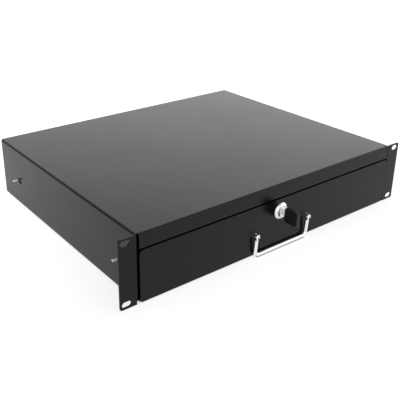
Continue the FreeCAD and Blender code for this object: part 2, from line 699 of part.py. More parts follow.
def make_cage(side, name, near, reach, row, level, diameter):
    """Stamped cage: a web between the members, with one strip of ball windows above and one below."""
    cage = new_body(name)
    start = "(%s + cage_start)" % SLIDE_START
    upper_half = [
        (near, "%s + cage_sheet / 2" % level),
        (reach, "%s + cage_sheet / 2" % level),
        (reach, "%s - cage_sheet / 2" % level),
        ("%s + cage_sheet" % near, "%s - cage_sheet / 2" % level),
    ]
    length = "2 * ball_margin + %d * ball_pitch" % (BALLS_IN_A_ROW - 1)
    pad(cage, name + "_section", "XZ", start, [slide_profile(side, upper_half)], length)
    half = "(%s / 2 + cage_play)" % diameter
    windows = []
    for step in range(BALLS_IN_A_ROW):
        place_y = "%s + ball_margin + %d * ball_pitch" % (start, step)
        middle = from_wall(side, row)
        windows.append(rectangle("%s - %s" % (middle, half), "%s + %s" % (middle, half),
                                 "%s - %s" % (place_y, half), "%s + %s" % (place_y, half)))
    pocket(cage, name + "_windows", "XY", "%s - %s" % (SLIDE_LEVEL, OUTER_HALF), windows, "slide_height")
    return cage


def make_case_slide_screws():
    """Four screws from inside the outer members; their tips stand out of the case's sides."""
    screws = []
    seat = "(%s - slide_gauge)" % CASE_WALL
    length = "slide_gauge + case_sheet + case_screw_tip"
    for side, hand in ((1, "right"), (-1, "left")):
        for place_y, end in (("case_screw_front", "front"), (CASE_SCREW_REAR, "rear")):
            name = "case_screw_%s_%s" % (hand, end)
            shank_start = seat if side > 0 else minus(CASE_SIDE + " + case_screw_tip")
            head_start = "%s - head_height" % seat if side > 0 else minus(seat)
            shank = rod(name + "_shank", "X", shank_start, place_y, SLIDE_LEVEL, "screw_radius", length)
            head = rod(name + "_head", "X", head_start, place_y, SLIDE_LEVEL, "head_radius", "head_height")
            screws.append(fuse(name, [shank, head]))
    return together("case_slide_screws", screws)


# Drawer

def front_holes():
    """Lock hole and the two handle holes, through the drawer front and the tray's front wall."""
    holes = [("circle", "0", LOCK_LEVEL, "barrel_radius + barrel_play")]
    for across in ("handle_spread / 2", minus("handle_spread / 2")):
        holes.append(("circle", across, HANDLE_LEVEL, "stud_radius + screw_play"))
    return holes


def make_tray():
    """Open tray: floor and sides with inward flanges, closed by a front and a back wall."""
    tray = new_body("tray")
    hem_edge = "(%s - tray_hem)" % TRAY_SIDE
    inside = "(%s - tray_sheet)" % TRAY_SIDE
    right_half = [
        (TRAY_SIDE, TRAY_FLOOR),
        (TRAY_SIDE, TRAY_TOP),
        (hem_edge, TRAY_TOP),
        (hem_edge, TRAY_TOP + " - tray_sheet"),
        (inside, TRAY_TOP + " - tray_sheet"),
        (inside, TRAY_FLOOR + " + tray_sheet"),
    ]
    left_half = [(minus(across), up) for across, up in reversed(right_half)]
    pad(tray, "tray_folds", "XZ", FRONT_BACK, [("corners", right_half + left_half)], TRAY_BACK + " + front_gap")
    round_edges(tray, "tray_outer_bends", "tray_bend + tray_sheet", 1,
                both_sides([(TRAY_SIDE, TRAY_FLOOR), (TRAY_SIDE, TRAY_TOP)]))
    round_edges(tray, "tray_inner_bends", "tray_bend", 1,
                both_sides([(inside, TRAY_FLOOR + " + tray_sheet"), (inside, TRAY_TOP + " - tray_sheet")]))
    wall_side = "(%s - tray_sheet / 2)" % TRAY_SIDE
    wall = rectangle(minus(wall_side), wall_side, TRAY_FLOOR + " + tray_sheet / 2", TRAY_TOP + " - tray_sheet / 2")
    pad(tray, "tray_front_wall", "XZ", FRONT_BACK, [wall], "tray_sheet")
    pad(tray, "tray_back_wall", "XZ", "(%s - tray_sheet)" % TRAY_BACK, [wall], "tray_sheet")
    pocket(tray, "tray_front_holes", "XZ", "%s - 1" % FRONT_BACK, front_holes(), "tray_sheet + 2")
    return tray


def make_drawer_front():
    """Front plate with rounded corners and a rim folded back along its sides and top."""
    front = new_body("drawer_front")
    pad(front, "front_block", "XZ", FRONT_FACE,
        [rectangle(minus(FRONT_SIDE), FRONT_SIDE, FRONT_BOTTOM, FRONT_TOP)], "front_sheet + rim_depth")
    rim_side, rim_top = "(%s - front_sheet)" % FRONT_SIDE, "(%s - front_sheet)" % FRONT_TOP
    pocket(front, "front_hollow", "XZ", FRONT_BACK,
           [rectangle(minus(rim_side), rim_side, "%s - 1" % FRONT_BOTTOM, rim_top)], "rim_depth + 1")
    rim_end = "%s + rim_foot" % CASE_FLOOR
    pocket(front, "rim_feet", "XZ", FRONT_BACK,
           [rectangle(minus(FRONT_SIDE + " + 1"), "%s + 1" % FRONT_SIDE, "%s - 1" % FRONT_BOTTOM, rim_end)],
           "rim_depth + 1")
    round_edges(front, "rim_inner_corners", "front_corner - front_sheet", 1, both_sides([(rim_side, rim_top)]))
    round_edges(front, "front_top_corners", "front_corner", 1, both_sides([(FRONT_SIDE, FRONT_TOP)]))
    round_edges(front, "front_low_corners", "front_low_corner", 1, both_sides([(FRONT_SIDE, FRONT_BOTTOM)]))
    pocket(front, "front_openings", "XZ", "%s - 1" % FRONT_FACE, front_holes(), "front_sheet + 2")
    return front


# Cam lock and key

def make_lock_body():
    """Fixed housing: a conical ring outside and a round threaded body behind."""
    body = new_body("lock_body")
    bore = "plug_radius + plug_play"
    profile = [
        (RING_FACE, bore),
        (RING_FACE, "ring_face"),
        (FRONT_FACE + " - ring_edge", "ring_radius"),
        (FRONT_FACE, "ring_radius"),
        (FRONT_FACE, "barrel_radius"),
        ("barrel_back", "barrel_radius"),
        ("barrel_back", bore),
    ]
    turn(body, "lock_turning", "0", LOCK_LEVEL, profile)
    return body


def make_lock_nut():
    start = TRAY_FRONT_BACK
    block = hexagon("lock_nut_block", "0", start, LOCK_LEVEL, "lock_nut_flats", "lock_nut_sheet")
    hole = rod("lock_nut_hole", "Y", "0", start + " - 1", LOCK_LEVEL, "barrel_radius + screw_play",
               "lock_nut_sheet + 2")
    return cut("lock_nut", block, hole)


def make_lock_plug():
    """Turning plug with its keyway in front, a square for the cam and a screw hole behind."""
    plug = new_body("lock_plug")
    face = "(%s + plug_recess)" % RING_FACE
    turn(plug, "plug_turning", "0", LOCK_LEVEL,
         [(face, "0"), (face, "plug_radius"), ("plug_back", "plug_radius"), ("plug_back", "0")])
    half = "(spigot / 2)"
    pad(plug, "plug_spigot", "XZ", "plug_back - 1",
        [rectangle(minus(half), half, LOCK_LEVEL + " - " + half, LOCK_LEVEL + " + " + half)],
        "1 + cam_sheet - spigot_short")
    way_x, way_z = "(key_sheet / 2 + key_gap)", "(key_half + key_gap)"
    pocket(plug, "keyway", "XZ", face + " - 1",
           [rectangle(minus(way_x), way_x, LOCK_LEVEL + " - " + way_z, LOCK_LEVEL + " + " + way_z)],
           "key_end + key_gap + 1 - " + face)
    pocket(plug, "cam_screw_hole", "XZ", "(plug_back + cam_sheet - cam_screw_depth)",
           [("circle", "0", LOCK_LEVEL, "cam_screw_radius + screw_play")], "cam_screw_depth + 1")
    return plug


def make_lock_cam():
    """Flat cam on the plug's square, lying sideways while the lock is open."""
    cam = new_body("lock_cam")
    half = "(spigot / 2)"
    arm = rectangle(minus("cam_tail"), "cam_reach", LOCK_LEVEL + " - cam_half", LOCK_LEVEL + " + cam_half")
    square = rectangle(minus(half), half, LOCK_LEVEL + " - " + half, LOCK_LEVEL + " + " + half)
    pad(cam, "cam_plate", "XZ", "plug_back", [arm, square], "cam_sheet")
    round_edges(cam, "cam_hub", "cam_hub_round", 1,
                [(minus("cam_tail"), LOCK_LEVEL + " - cam_half"), (minus("cam_tail"), LOCK_LEVEL + " + cam_half")])
    round_edges(cam, "cam_tip", "cam_tip_round", 1,
                [("cam_reach", LOCK_LEVEL + " - cam_half"), ("cam_reach", LOCK_LEVEL + " + cam_half")])
    return cam


def make_cam_washer():
    start = "(plug_back + cam_sheet)"
    disc = rod("cam_washer_disc", "Y", "0", start, LOCK_LEVEL, "washer_radius", "washer_sheet")
    hole = rod("cam_washer_hole", "Y", "0", start + " - 1", LOCK_LEVEL, "cam_screw_radius + screw_play",
               "washer_sheet + 2")
    return cut("cam_washer", disc, hole)


def make_cam_screw():
    seat = "(plug_back + cam_sheet + washer_sheet)"
    shank_start = "(plug_back + cam_sheet - cam_screw_depth + spigot_short)"
    shank = rod("cam_screw_shank", "Y", "0", shank_start, LOCK_LEVEL, "cam_screw_radius",
                "cam_screw_depth + washer_sheet - spigot_short")
    head = rod("cam_screw_head", "Y", "0", seat, LOCK_LEVEL, "cam_head_radius", "cam_head_height")
    return fuse("cam_screw", [shank, head])


def make_key_blade():
    """Flat blade with cuts along its upper edge; its tang sits in the bow."""
    blade = new_body("key_blade")
    low, high = LOCK_LEVEL + " - key_half", LOCK_LEVEL + " + key_half"
    outline = [
        (minus("bow_near + tang"), low),
        ("key_end - key_half", low),
        ("key_end", LOCK_LEVEL),
        ("key_end - key_half", high),
    ]
    for cut_number in range(3):
        back = "key_end - key_half - %d * key_step" % cut_number
        outline.append((back + " - key_step / 2", high + " - key_notch"))
        outline.append((back + " - key_step", high))
    outline.append((minus("bow_near + tang"), high))
    pad(blade, "blade_sheet", "YZ", minus("key_sheet / 2"), [("corners", outline)], "key_sheet")
    return blade


def make_key_bow():
    """Moulded bow: a flat grip with slanted shoulders, upright like the blade."""
    bow = new_body("key_bow")
    middle = LOCK_LEVEL + " - bow_drop"
    near, far = minus("bow_near"), minus("bow_far")
    upper = [
        (near, "bow_neck"),
        (near + " - bow_slope", "bow_half"),
        (far + " + bow_chamfer", "bow_half"),
        (far, "bow_half - bow_chamfer"),
    ]
    outline = [(along, "%s + %s" % (middle, rise)) for along, rise in upper]
    outline += [(along, "%s - (%s)" % (middle, rise)) for along, rise in reversed(upper)]
    pad(bow, "bow_block", "YZ", minus("bow_sheet / 2"), [("corners", outline)], "bow_sheet")
    shape = shape_now(bow)
    names = edges_on_level(shape, 0, "bow_sheet / 2") + edges_on_level(shape, 0, minus("bow_sheet / 2"))
    soft = bow.newObject("PartDesign::Fillet", "bow_edges")
    soft.Base = (doc.getObject("bow_block"), names)
    bind(soft, "Radius", "bow_round")
    pocket(bow, "tang_slot", "XZ", minus("bow_near + tang"),
           [rectangle(minus("key_sheet / 2"), "key_sheet / 2", LOCK_LEVEL + " - key_half", LOCK_LEVEL + " + key_half")],
           "tang + 1")
    return bow


# Bail handle

def make_handle_post(side, name):
    """Round slotted post with a stud behind; the slot takes the bail's flattened end."""
    across = on_side(side, "handle_spread / 2")
    tip = minus("post_tip")
    end = taper(name + "_end", "Y", across, tip, HANDLE_LEVEL, "post_radius - post_chamfer", "post_radius",
                "post_chamfer")
    barrel = rod(name + "_barrel", "Y", across, tip + " + post_chamfer", HANDLE_LEVEL, "post_radius",
                 "post_tip - post_chamfer - front_gap - front_sheet")
    stud = rod(name + "_stud", "Y", across, FRONT_FACE, HANDLE_LEVEL, "stud_radius",
               "stud_back + front_gap + front_sheet")
    slot = box(name + "_slot", "%s - post_slot / 2" % across, tip + " - 1", HANDLE_LEVEL + " - post_radius - 1",
               "post_slot", "post_tip - post_slot_end + 1", "2 * post_radius + 2")
    hole = rod(name + "_hole", "X", "%s - post_radius - 1" % across, minus("pivot_out"), HANDLE_LEVEL,
               "pin_radius + pin_play", "2 * post_radius + 2")
    return cut(name, fuse(name + "_whole", [end, barrel, stud]), fuse(name + "_cuts", [slot, hole]))


def make_handle_nuts():
    nuts = []
    for side, name in ((1, "handle_nut_right"), (-1, "handle_nut_left")):
        across = on_side(side, "handle_spread / 2")
        block = hexagon(name + "_block", across, TRAY_FRONT_BACK, HANDLE_LEVEL, "stud_nut_flats", "stud_nut_sheet")
        hole = rod(name + "_hole", "Y", across, TRAY_FRONT_BACK + " - 1", HANDLE_LEVEL,
                   "stud_radius + pin_play", "stud_nut_sheet + 2")
        nuts.append(cut(name, block, hole))
    return together("handle_nuts", nuts)


def make_handle_pins():
    pins = []
    for side, name in ((1, "handle_pin_right"), (-1, "handle_pin_left")):
        start = "%s - post_radius - pin_proud" % on_side(side, "handle_spread / 2")
        pins.append(rod(name, "X", start, minus("pivot_out"), HANDLE_LEVEL, "pin_radius",
                        "2 * post_radius + 2 * pin_proud"))
    return together("handle_pins", pins)


def make_handle_bail():
    """Round rod bent to a U, with flattened and drilled ends.

    It is built upright about its pivot line and then leant back and moved to the pins.
    """
    bend_level = "(0 - handle_drop + handle_bend)"
    pieces = []
    holes = []
    for side, hand in ((1, "right"), (-1, "left")):
        across = on_side(side, "handle_spread / 2")
        start = "%s - eye_sheet / 2" % across
        pieces.append(rod("bail_eye_" + hand, "X", start, "0", "0", "eye_radius", "eye_sheet"))
        pieces.append(box("bail_neck_" + hand, start, minus("eye_neck"), minus("neck_length + neck_root"),
                          "eye_sheet", "2 * eye_neck", "neck_length + neck_root"))
        pieces.append(rod("bail_leg_" + hand, "Z", across, "0", bend_level, "handle_rod",
                          "handle_drop - handle_bend - neck_length"))
        corner = doc.addObject("Part::Torus", "bail_corner_" + hand)
        bind(corner, "Radius1", "handle_bend")
        bind(corner, "Radius2", "handle_rod")
        corner.Angle3 = 90
        # The quarter ring lies in the XZ plane and opens upwards and inwards
        upright = FreeCAD.Rotation(FreeCAD.Vector(1, 0, 0), -90)
        flip = FreeCAD.Rotation(FreeCAD.Vector(0, 1, 0), 0 if side > 0 else 90)
        corner.Placement.Rotation = flip.multiply(upright)
        place(corner, "%s %s handle_bend" % (across, "-" if side > 0 else "+"), "0", bend_level)
        pieces.append(corner)
        holes.append(rod("bail_hole_" + hand, "X", "%s - 1" % start, "0", "0", "pin_radius + pin_run",
                         "eye_sheet + 2"))
    pieces.append(rod("bail_bar", "X", "handle_bend - handle_spread / 2", "0", minus("handle_drop"), "handle_rod",
                      "handle_spread - 2 * handle_bend"))
    bail = cut("handle_bail", fuse("bail_whole", pieces), fuse("bail_holes", holes))
    bail.Placement.Rotation = FreeCAD.Rotation(FreeCAD.Vector(1, 0, 0), 1)
    bind(bail, "Placement.Rotation.Angle", "handle_lean")
    place(bail, "0", minus("pivot_out"), HANDLE_LEVEL)
    return bail


def make_slide(side, hand):
    return [
        make_outer_member(side, "slide_outer_" + hand),
        make_middle_member(side, "slide_middle_" + hand),
        make_inner_member(side, "slide_inner_" + hand),
        make_cage(side, "outer_cage_" + hand, "outer_cage_set", "outer_cage_reach", "outer_row", OUTER_BALLS,
                  "outer_ball"),
        make_cage(side, "inner_cage_" + hand, "inner_cage_set", "inner_cage_reach", "inner_row", INNER_BALLS,
                  "inner_ball"),
    ]


sub_parts = [make_case_shell(), make_top_cover(), make_rear_panel()]
sub_parts += make_slide(-1, "left") + make_slide(1, "right")
sub_parts += [make_case_slide_screws(), make_tray(), make_drawer_front()]
sub_parts += [make_lock_body(), make_lock_nut(), make_lock_plug(), make_lock_cam()]
sub_parts += [make_cam_washer(), make_cam_screw(), make_key_blade(), make_key_bow()]
sub_parts += [make_handle_post(-1, "handle_post_left"), make_handle_post(1, "handle_post_right")]
sub_parts += [make_handle_nuts(), make_handle_pins(), make_handle_bail()]
doc.recompute()

for feature in doc.Objects:
    if "Invalid" in feature.State or "Error" in feature.State:
        raise RuntimeError("%s is not built" % feature.Name)
for sub_part in sub_parts:
    if sub_part.Shape.isNull() or not sub_part.Shape.isValid() or not sub_part.Shape.Solids:
        raise RuntimeError("%s has no valid solid" % sub_part.Label)

os.makedirs("parts", exist_ok=True)
for sub_part in sub_parts:
    sub_part.Shape.exportStep("parts/%s.step" % sub_part.Label)
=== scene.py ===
import math

import bmesh
import bpy
import numpy as np
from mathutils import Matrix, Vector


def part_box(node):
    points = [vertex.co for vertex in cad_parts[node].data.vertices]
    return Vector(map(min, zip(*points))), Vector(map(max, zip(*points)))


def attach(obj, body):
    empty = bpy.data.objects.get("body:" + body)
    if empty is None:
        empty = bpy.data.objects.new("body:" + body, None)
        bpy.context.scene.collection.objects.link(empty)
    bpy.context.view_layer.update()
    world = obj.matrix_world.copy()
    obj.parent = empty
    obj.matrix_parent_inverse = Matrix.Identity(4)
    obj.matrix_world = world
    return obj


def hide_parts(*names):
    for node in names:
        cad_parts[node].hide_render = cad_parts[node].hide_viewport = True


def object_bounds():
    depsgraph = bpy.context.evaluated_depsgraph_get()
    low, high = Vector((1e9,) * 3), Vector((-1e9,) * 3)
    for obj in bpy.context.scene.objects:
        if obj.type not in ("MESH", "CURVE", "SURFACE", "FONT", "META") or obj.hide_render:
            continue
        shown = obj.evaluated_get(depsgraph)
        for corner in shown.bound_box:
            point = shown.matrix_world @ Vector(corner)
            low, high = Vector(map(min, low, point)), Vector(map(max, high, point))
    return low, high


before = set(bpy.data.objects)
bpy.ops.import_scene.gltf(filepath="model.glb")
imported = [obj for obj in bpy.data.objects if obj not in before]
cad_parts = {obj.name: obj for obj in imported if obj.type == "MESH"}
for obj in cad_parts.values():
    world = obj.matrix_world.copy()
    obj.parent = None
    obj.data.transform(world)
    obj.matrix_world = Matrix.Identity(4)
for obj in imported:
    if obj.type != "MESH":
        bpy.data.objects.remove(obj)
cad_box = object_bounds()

# Case
# The shell with its ears is folded from one sheet of mild steel; a flat cover and a rear panel close it.
# All are powder coated black: a baked polyester film, satin, with a very fine orange peel.

# Octaves of a finish's two noises, and the span that the slow one hardly leaves
DRIFT_OCTAVES = 3.0
WAVE_OCTAVES = 2.0
DRIFT_SPAN = (0.3, 0.7)


def linear(hex_colour):
    """Linear colour of an sRGB hex value: c / 12.92 up to 0.04045, else ((c + 0.055) / 1.055) ** 2.4."""
    parts = [int(hex_colour[start:start + 2], 16) / 255 for start in (1, 3, 5)]
    return tuple(c / 12.92 if c <= 0.04045 else ((c + 0.055) / 1.055) ** 2.4 for c in parts) + (1.0,)


def add(tree, kind, settings):
    """Adds one node. A setting belongs to the socket with its name or number, or else to the node itself.

    A socket takes a plain value, or a link where the setting is another node's output.
    """
    made = tree.nodes.new("ShaderNode" + kind)
    for name, value in settings.items():
        if isinstance(name, str) and name not in made.inputs:
            setattr(made, name, value)
        elif isinstance(value, bpy.types.NodeSocket):
            tree.links.new(value, made.inputs[name])
        else:
            made.inputs[name].default_value = value
    return made


def new_finish(name, constants, dark, light, patch, roughness, wave, height):
    """A finish whose colour and gloss drift over one length and whose surface waves over another.

    Colour = mix(dark, light, noise(position / patch)); roughness follows the same noise between its two
    values; the bump is height * noise(position / wave).
    """
    finish = bpy.data.materials.new(name)
    finish.use_nodes = True
    tree = finish.node_tree
    tree.nodes.clear()
    place = add(tree, "TexCoord", {}).outputs["Object"]
    drift = add(tree, "TexNoise", {
        "Vector": place, "Scale": 1 / patch, "Detail": DRIFT_OCTAVES}).outputs["Fac"]
    ripple = add(tree, "TexNoise", {
        "Vector": place, "Scale": 1 / wave, "Detail": WAVE_OCTAVES}).outputs["Fac"]
    tone = add(tree, "MixRGB", {
        "Fac": drift, "Color1": linear(dark), "Color2": linear(light)}).outputs["Color"]
    gloss = add(tree, "MapRange", {
        "Value": drift, "From Min": DRIFT_SPAN[0], "From Max": DRIFT_SPAN[1],
        "To Min": roughness[0], "To Max": roughness[1]}).outputs["Result"]
    bump = add(tree, "Bump", {"Height": ripple, "Strength": 1.0, "Distance": height}).outputs["Normal"]
    skin = add(tree, "BsdfPrincipled", {
        **constants, "Base Color": tone, "Roughness": gloss, "Normal": bump}).outputs["BSDF"]
    add(tree, "OutputMaterial", {"Surface": skin})
    return finish


def dress(node, finish):
    """Gives a CAD node its finish."""
    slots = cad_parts[node].data.materials
    slots.clear()
    slots.append(finish)


# To the eye a near black with a soft, weak mirror, whose gloss changes slowly over a hand's width.
# Plain polyester has an IOR of 1.5; this paint mirrors the studio more weakly. The film's waves are about
# 1.5 mm long and a few micrometres high, drawn higher so that they show.
black_powder_coat = new_finish(
    "black_powder_coat", {"IOR": 1.28}, dark="#060607", light="#09090a", patch=0.08, roughness=(0.22, 0.27),
    wave=0.0015, height=0.00003)
for node in ("case_shell", "top_cover", "rear_panel"):
    dress(node, black_powder_coat)

# Slide screws of the case
# Four M4 pan-head screws of zinc-plated steel hold the outer members from inside.
# Their threaded tips stand out of the case's sides, left bright.

SCREW_RADIUS = 0.002
SCREW_HEAD_RADIUS = 0.0038
SCREW_HEAD_HEIGHT = 0.0016
M4_PITCH = 0.0007
M4_DEPTH = 0.0002
# The cone at the tip takes this share of the shank's radius
TIP_SHARE = 0.4
# A thread fades out over this share of its pitch
FADE_SHARE = 0.6
SLIDE_GAUGE = 0.0012
HEAD_ROWS = 9
ROWS_PER_PITCH = 8
SCREW_AROUND = 32
MERGE_DISTANCE = 1e-7


def turned(along, radius, centre, axis, around):
    """Grid of a turned form, one row for each profile point.

    Point = centre + along * axis + radius * (cos(turn) * first + sin(turn) * second), where first and second
    are square to the axis. Along and radius may be one value for each row, or change around the row as well.
    """
    along, radius = (np.broadcast_to(np.asarray(part, float).reshape(len(part), -1), (len(part), around))
                     for part in (along, radius))
    axis = np.asarray(axis, float)
    first = np.array([axis[1], axis[2], axis[0]])
    second = np.cross(axis, first)
    turn = np.linspace(0, 2 * np.pi, around, endpoint=False)
    spread = np.cos(turn)[:, None] * first + np.sin(turn)[:, None] * second
    return np.asarray(centre) + along[:, :, None] * axis + radius[:, :, None] * spread


def plain_rows(spans, around):
    """Round rows: each radius repeated around the form."""
    return np.repeat(np.asarray(spans, float)[:, None], around, axis=1)


def thread_rows(along, core, depth, pitch, around):
    """Radius = core + depth * ridge(along / pitch - turn), a triangle wave that fades out at both ends."""
    turn = np.linspace(0, 1, around, endpoint=False)
    phase = (along[:, None] / pitch - turn) % 1
    ridge = 1 - np.abs(2 * phase - 1)
    fade = np.clip(np.minimum(along - along[0], along[-1] - along) / (FADE_SHARE * pitch), 0, 1)
    return core + depth * ridge * fade[:, None]


def make_piece(name, grids, body, finish, closed_rows=False, sharp=35.0):
    """Mesh of quads over one or more grids that close around their columns, and around their rows if asked.

    Equal points at poles and seams are merged and the faces are turned outwards. Edges that bend by more than
    sharp degrees stay sharp.
    """
    points, faces, start = [], [], 0
    for grid in grids:
        rows, columns = grid.shape[:2]
        number = np.arange(rows * columns).reshape(rows, columns) + start
        below = number if closed_rows else number[:-1]
        above = np.roll(number, -1, axis=0) if closed_rows else number[1:]
        quads = np.stack([below, np.roll(below, -1, axis=1), np.roll(above, -1, axis=1), above], axis=-1)
        points.append(grid.reshape(-1, 3))
        faces.append(quads.reshape(-1, 4))
        start += rows * columns
    mesh = bpy.data.meshes.new(name)
    mesh.from_pydata(np.concatenate(points).tolist(), [], np.concatenate(faces).tolist())
    work = bmesh.new()
    work.from_mesh(mesh)
    bmesh.ops.remove_doubles(work, verts=work.verts, dist=MERGE_DISTANCE)
    bmesh.ops.recalc_face_normals(work, faces=work.faces)
    work.to_mesh(mesh)
    work.free()
    mesh.shade_smooth()
    mesh.set_sharp_from_angle(angle=math.radians(sharp))
    mesh.materials.append(finish)
    piece = bpy.data.objects.new(name, mesh)
    bpy.context.scene.collection.objects.link(piece)
    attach(piece, body)
    return piece


def pan_head_screw(seat, direction, shank_length):
    """Low domed head, then a threaded shank with a short cone at its tip, along a direction from the seat.

    Head: along = -height * cos(a), radius = head radius * sin(a) ** 0.4 for a from 0 to a quarter turn.
    """
    quarter = np.linspace(0, np.pi / 2, HEAD_ROWS)
    head_span = SCREW_HEAD_RADIUS * np.sin(quarter) ** 0.4
    steps = int(shank_length / M4_PITCH * ROWS_PER_PITCH)
    shank_along = np.linspace(0, shank_length - TIP_SHARE * SCREW_RADIUS, steps)
    shank = thread_rows(shank_along, SCREW_RADIUS - M4_DEPTH, M4_DEPTH, M4_PITCH, SCREW_AROUND)
    tip_span = [(1 - TIP_SHARE) * SCREW_RADIUS, 0.0]
    along = np.concatenate([-SCREW_HEAD_HEIGHT * np.cos(quarter), shank_along, [shank_length, shank_length]])
    radius = np.concatenate([plain_rows(head_span, SCREW_AROUND), shank, plain_rows(tip_span, SCREW_AROUND)])
    return turned(along, radius, seat, direction, SCREW_AROUND)


# Electroplated zinc, clear passivated: a slightly blurred, cool grey mirror, uneven over a few millimetres.
# Its grain is some hundredths of a millimetre wide, drawn coarser so that it shows.
bright_zinc = new_finish(
    "bright_zinc", {"Metallic": 1.0}, dark="#b4b6b8", light="#d2d4d5", patch=0.006, roughness=(0.12, 0.20),
    wave=0.0004, height=0.000004)
screw_low, screw_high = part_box("case_slide_screws")
slide_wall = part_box("slide_outer_right")[1].x
slide_level = (screw_low.z + screw_high.z) / 2
slide_seat = slide_wall - SLIDE_GAUGE
case_screws = [
    pan_head_screw((side * slide_seat, y, slide_level), (side, 0, 0), screw_high.x - slide_seat)
    for side in (-1, 1) for y in (screw_low.y + SCREW_HEAD_RADIUS, screw_high.y - SCREW_HEAD_RADIUS)]
case_screw_set = make_piece("case_screw_set", case_screws, "case", bright_zinc)
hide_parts("case_slide_screws")

# Slides
# Each slide has three members rolled from steel strip, one inside the other.
# They are coated black by dipping, so they look smooth, thin-skinned and a little greyer than the case.

# Dip coat on rolled strip: a very dark grey skin with broad, dull highlights along the races, and waves
# about 0.8 mm long from the run of the dip.
black_dip_coat = new_finish(
    "black_dip_coat", {"IOR": 1.45}, dark="#121213", light="#1a1a1b", patch=0.05, roughness=(0.30, 0.42),
    wave=0.0008, height=0.00001)
for hand in ("left", "right"):
    for member in ("slide_outer_", "slide_middle_", "slide_inner_"):
        dress(member + hand, black_dip_coat)

# Ball cages
# Stamped strip cages of zinc-plated steel keep the balls apart, six in each of their two rows.
# The balls are hardened and polished steel; they fill the windows and touch the members' races.

BALLS_IN_A_ROW = 6
BALL_MARGIN = 0.015
BALL_AROUND = 20
# For each cage: the balls' radius, and how far inside the outer member's back their rows lie
BALL_ROWS = {"outer": (0.0017, 0.0077), "inner": (0.0016, 0.0083)}
CAGE_HALF_STRIP = 0.00025


def ball_grid(centre, radius):
    """Sphere: along = -radius * cos(a), radius * sin(a) around, for a from 0 to half a turn."""
    arc = np.linspace(0, np.pi, BALL_AROUND // 2 + 1)
    return turned(-radius * np.cos(arc), radius * np.sin(arc), centre, (0, 1, 0), BALL_AROUND)


# Lapped bearing steel: small, clear mirrors that catch one point of light each. The lapping marks are a few
# micrometres wide, drawn coarser so that they soften the mirror.
ball_steel = new_finish(
    "polished_ball_steel", {"Metallic": 1.0}, dark="#c9ccd0", light="#dcdee1", patch=0.002,
    roughness=(0.08, 0.14), wave=0.0006, height=0.000001)
for hand, side in (("left", -1), ("right", 1)):
    for ring, (ball_radius, depth) in BALL_ROWS.items():
        cage = "%s_cage_%s" % (ring, hand)
        dress(cage, bright_zinc)
        cage_low, cage_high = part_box(cage)
        spots = np.linspace(cage_low.y + BALL_MARGIN, cage_high.y - BALL_MARGIN, BALLS_IN_A_ROW)
        balls = [ball_grid((side * (slide_wall - depth), y, z), ball_radius)
                 for y in spots for z in (cage_low.z + CAGE_HALF_STRIP, cage_high.z - CAGE_HALF_STRIP)]
        make_piece("%s_balls_%s" % (ring, hand), balls, "%s_cage_body_%s" % (ring, hand),
                   ball_steel)

# Tray
# The drawer itself is a tray folded from steel sheet, powder coated like the case.
# Two screws on each side hold it to the slides' inner members; their heads show inside.

TRAY_SHEET = 0.0012
TRAY_SCREW_PLACES = (0.030, 0.300)
RECESS_HALF = 0.0005
RECESS_DEPTH = 0.0009
RECESS_SPAN = 0.0021
RECESS_ROWS = 15
RECESS_AROUND = 64
# Rows run to this share of the recess's span, and two more shape the head's rim
RECESS_REACH = 1.2
RIM_ROWS = (0.0031, 0.0035)


def cross_head(seat, direction):
    """Pan head with a cross recess, seen from inside the tray.

    Height = dome - depth * trough, but not below the seat. With r the distance from the middle, dome =
    head height * (1 - (r / head radius) ** 4), and trough = exp(-(shorter distance to the cross's two lines /
    half width) ** 4) * exp(-(r / span) ** 8).
    """
    recess = np.linspace(0, RECESS_SPAN * RECESS_REACH, RECESS_ROWS)
    out = np.concatenate([recess, RIM_ROWS, [SCREW_HEAD_RADIUS]])[:, None]
    turn = np.linspace(0, 2 * np.pi, RECESS_AROUND, endpoint=False)
    near_line = np.minimum(np.abs(out * np.cos(turn)), np.abs(out * np.sin(turn)))
    trough = np.exp(-(near_line / RECESS_HALF) ** 4) * np.exp(-(out / RECESS_SPAN) ** 8)
    dome = SCREW_HEAD_HEIGHT * (1 - (out / SCREW_HEAD_RADIUS) ** 4)
    height = np.maximum(dome - RECESS_DEPTH * trough, 0)
    skin = turned(height, out, seat, direction, RECESS_AROUND)
    under = turned([0.0], [0.0], seat, direction, RECESS_AROUND)
    return np.concatenate([skin, under])


dress("tray", black_powder_coat)
tray_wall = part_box("tray")[1].x - TRAY_SHEET
tray_heads = [cross_head((side * tray_wall, y, slide_level), (-side, 0, 0))
              for side in (-1, 1) for y in TRAY_SCREW_PLACES]
make_piece("tray_screw_heads", tray_heads, "drawer", bright_zinc, sharp=50.0)

# Drawer front
# A plate of steel sheet with a rim folded back around it, powder coated with the case.
# It is held to the tray by the lock's nut and by the studs of the handle.

dress("drawer_front", black_powder_coat)

# Lock housing
# Die-cast and nickel-plated, with a bright conical bezel around a flat land on the drawer front.
# Behind the sheet its barrel is threaded and a flat nut holds it.

BORE = 0.0060
LAND_RADIUS = 0.0073
GROOVE_RADII = (0.0075, 0.0081)
GROOVE_DEPTH = 0.0008
CROWN_RADII = (0.0084, 0.0088)
CROWN_DEPTHS = (0.0001, 0.0003)
RIM_HEIGHT = 0.0006
RIM_CHAMFER_HEIGHT = 0.0003
RIM_CHAMFER = 0.0002
BARREL_RADIUS = 0.0090
BARREL_PITCH = 0.001
BARREL_DEPTH = 0.0004
BARREL_RELIEF = 0.0001
BARREL_ROWS = 110
TAIL_LENGTH = 0.0005
TAIL_CHAMFER = 0.0006
RING_AROUND = 96

